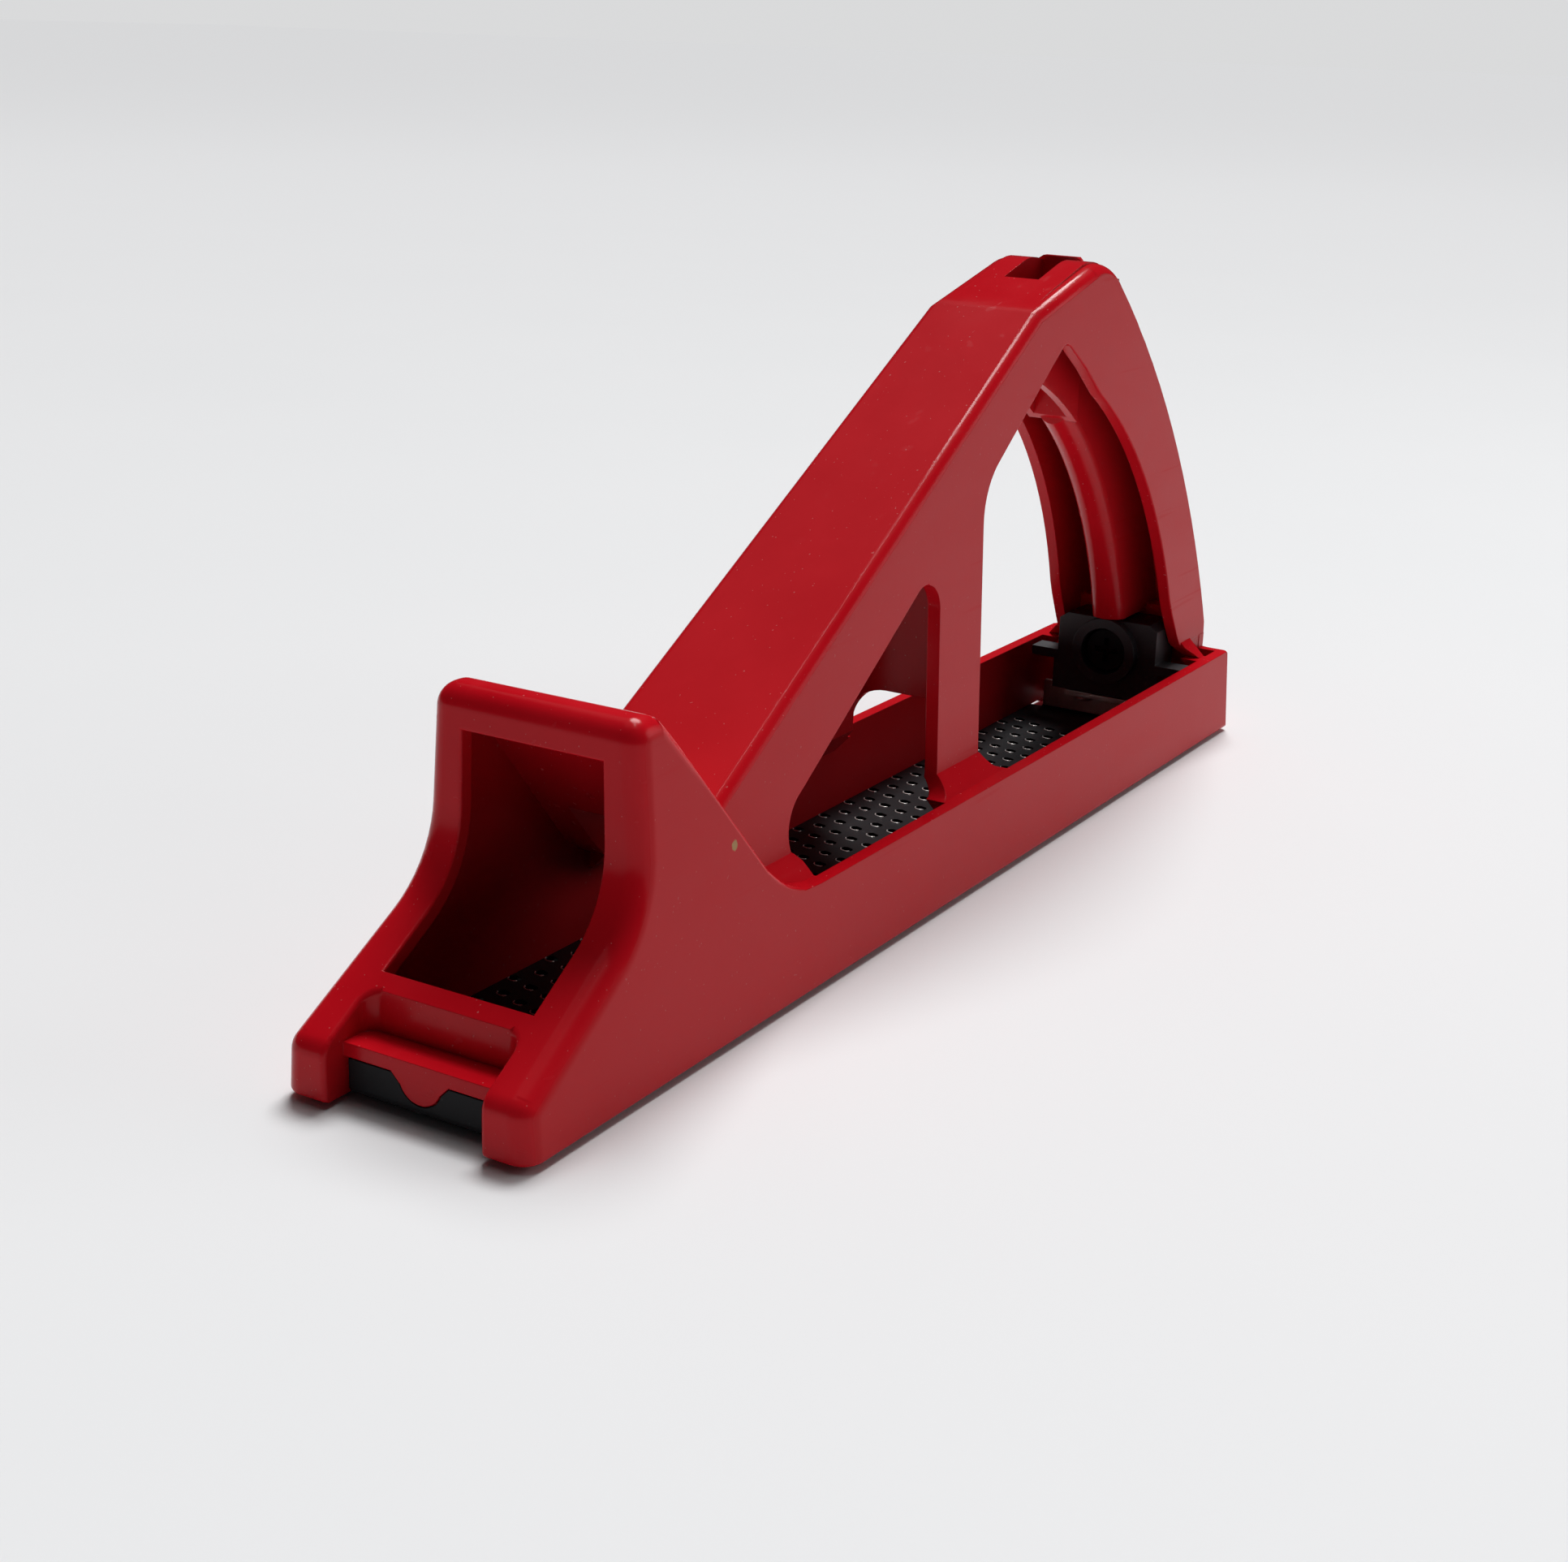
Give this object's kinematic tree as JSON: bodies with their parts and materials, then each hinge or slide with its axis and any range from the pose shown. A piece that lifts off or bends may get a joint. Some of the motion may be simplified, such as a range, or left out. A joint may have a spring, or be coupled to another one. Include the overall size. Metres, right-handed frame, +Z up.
{
  "type": "drywall plane",
  "caption": "Hand rasp for trimming plasterboard edges: a moulded handle frame holding a thin punched rasp blade, with a screw tensioner at the heel.",
  "frame": {"origin": "middle of the overall box, at the tips of the blade's teeth", "axes": "+X from the toe towards the heel, +Y across the sole, +Z up"},
  "size_m": [0.25, 0.043, 0.1032],
  "materials": {
    "red_plastic": "glossy moulded red plastic",
    "blade_steel": "black coated steel, with bright edges where the blade's teeth are punched",
    "black_plastic": "satin moulded black plastic",
    "plated_steel": "zinc plated"
  },
  "bodies": {
    "frame": {"body_frame": "red_plastic", "rasp_blade": "blade_steel", "heel_nut": "plated_steel"},
    "slider": {"tension_slider": "black_plastic", "hook_plate": "plated_steel", "hook_rivets": "plated_steel", "screw_washer": "blade_steel"},
    "screw": {"tension_screw": "blade_steel"}
  },
  "joints": [
    {"name": "slider_slide", "type": "slide", "parent": "frame", "child": "slider", "axis": [1, 0, 0], "range_m": [-0.0024, 0]},
    {"name": "screw_turn", "type": "hinge", "parent": "slider", "child": "screw", "pos_m": [0.107, 0, 0.0185], "axis": [1, 0, 0], "range_deg": [-1080, 0]}
  ],
  "couplings": [
    {"joint": "screw_turn", "follows": "slider_slide", "rad_per_m": 7853.9}
  ]
}
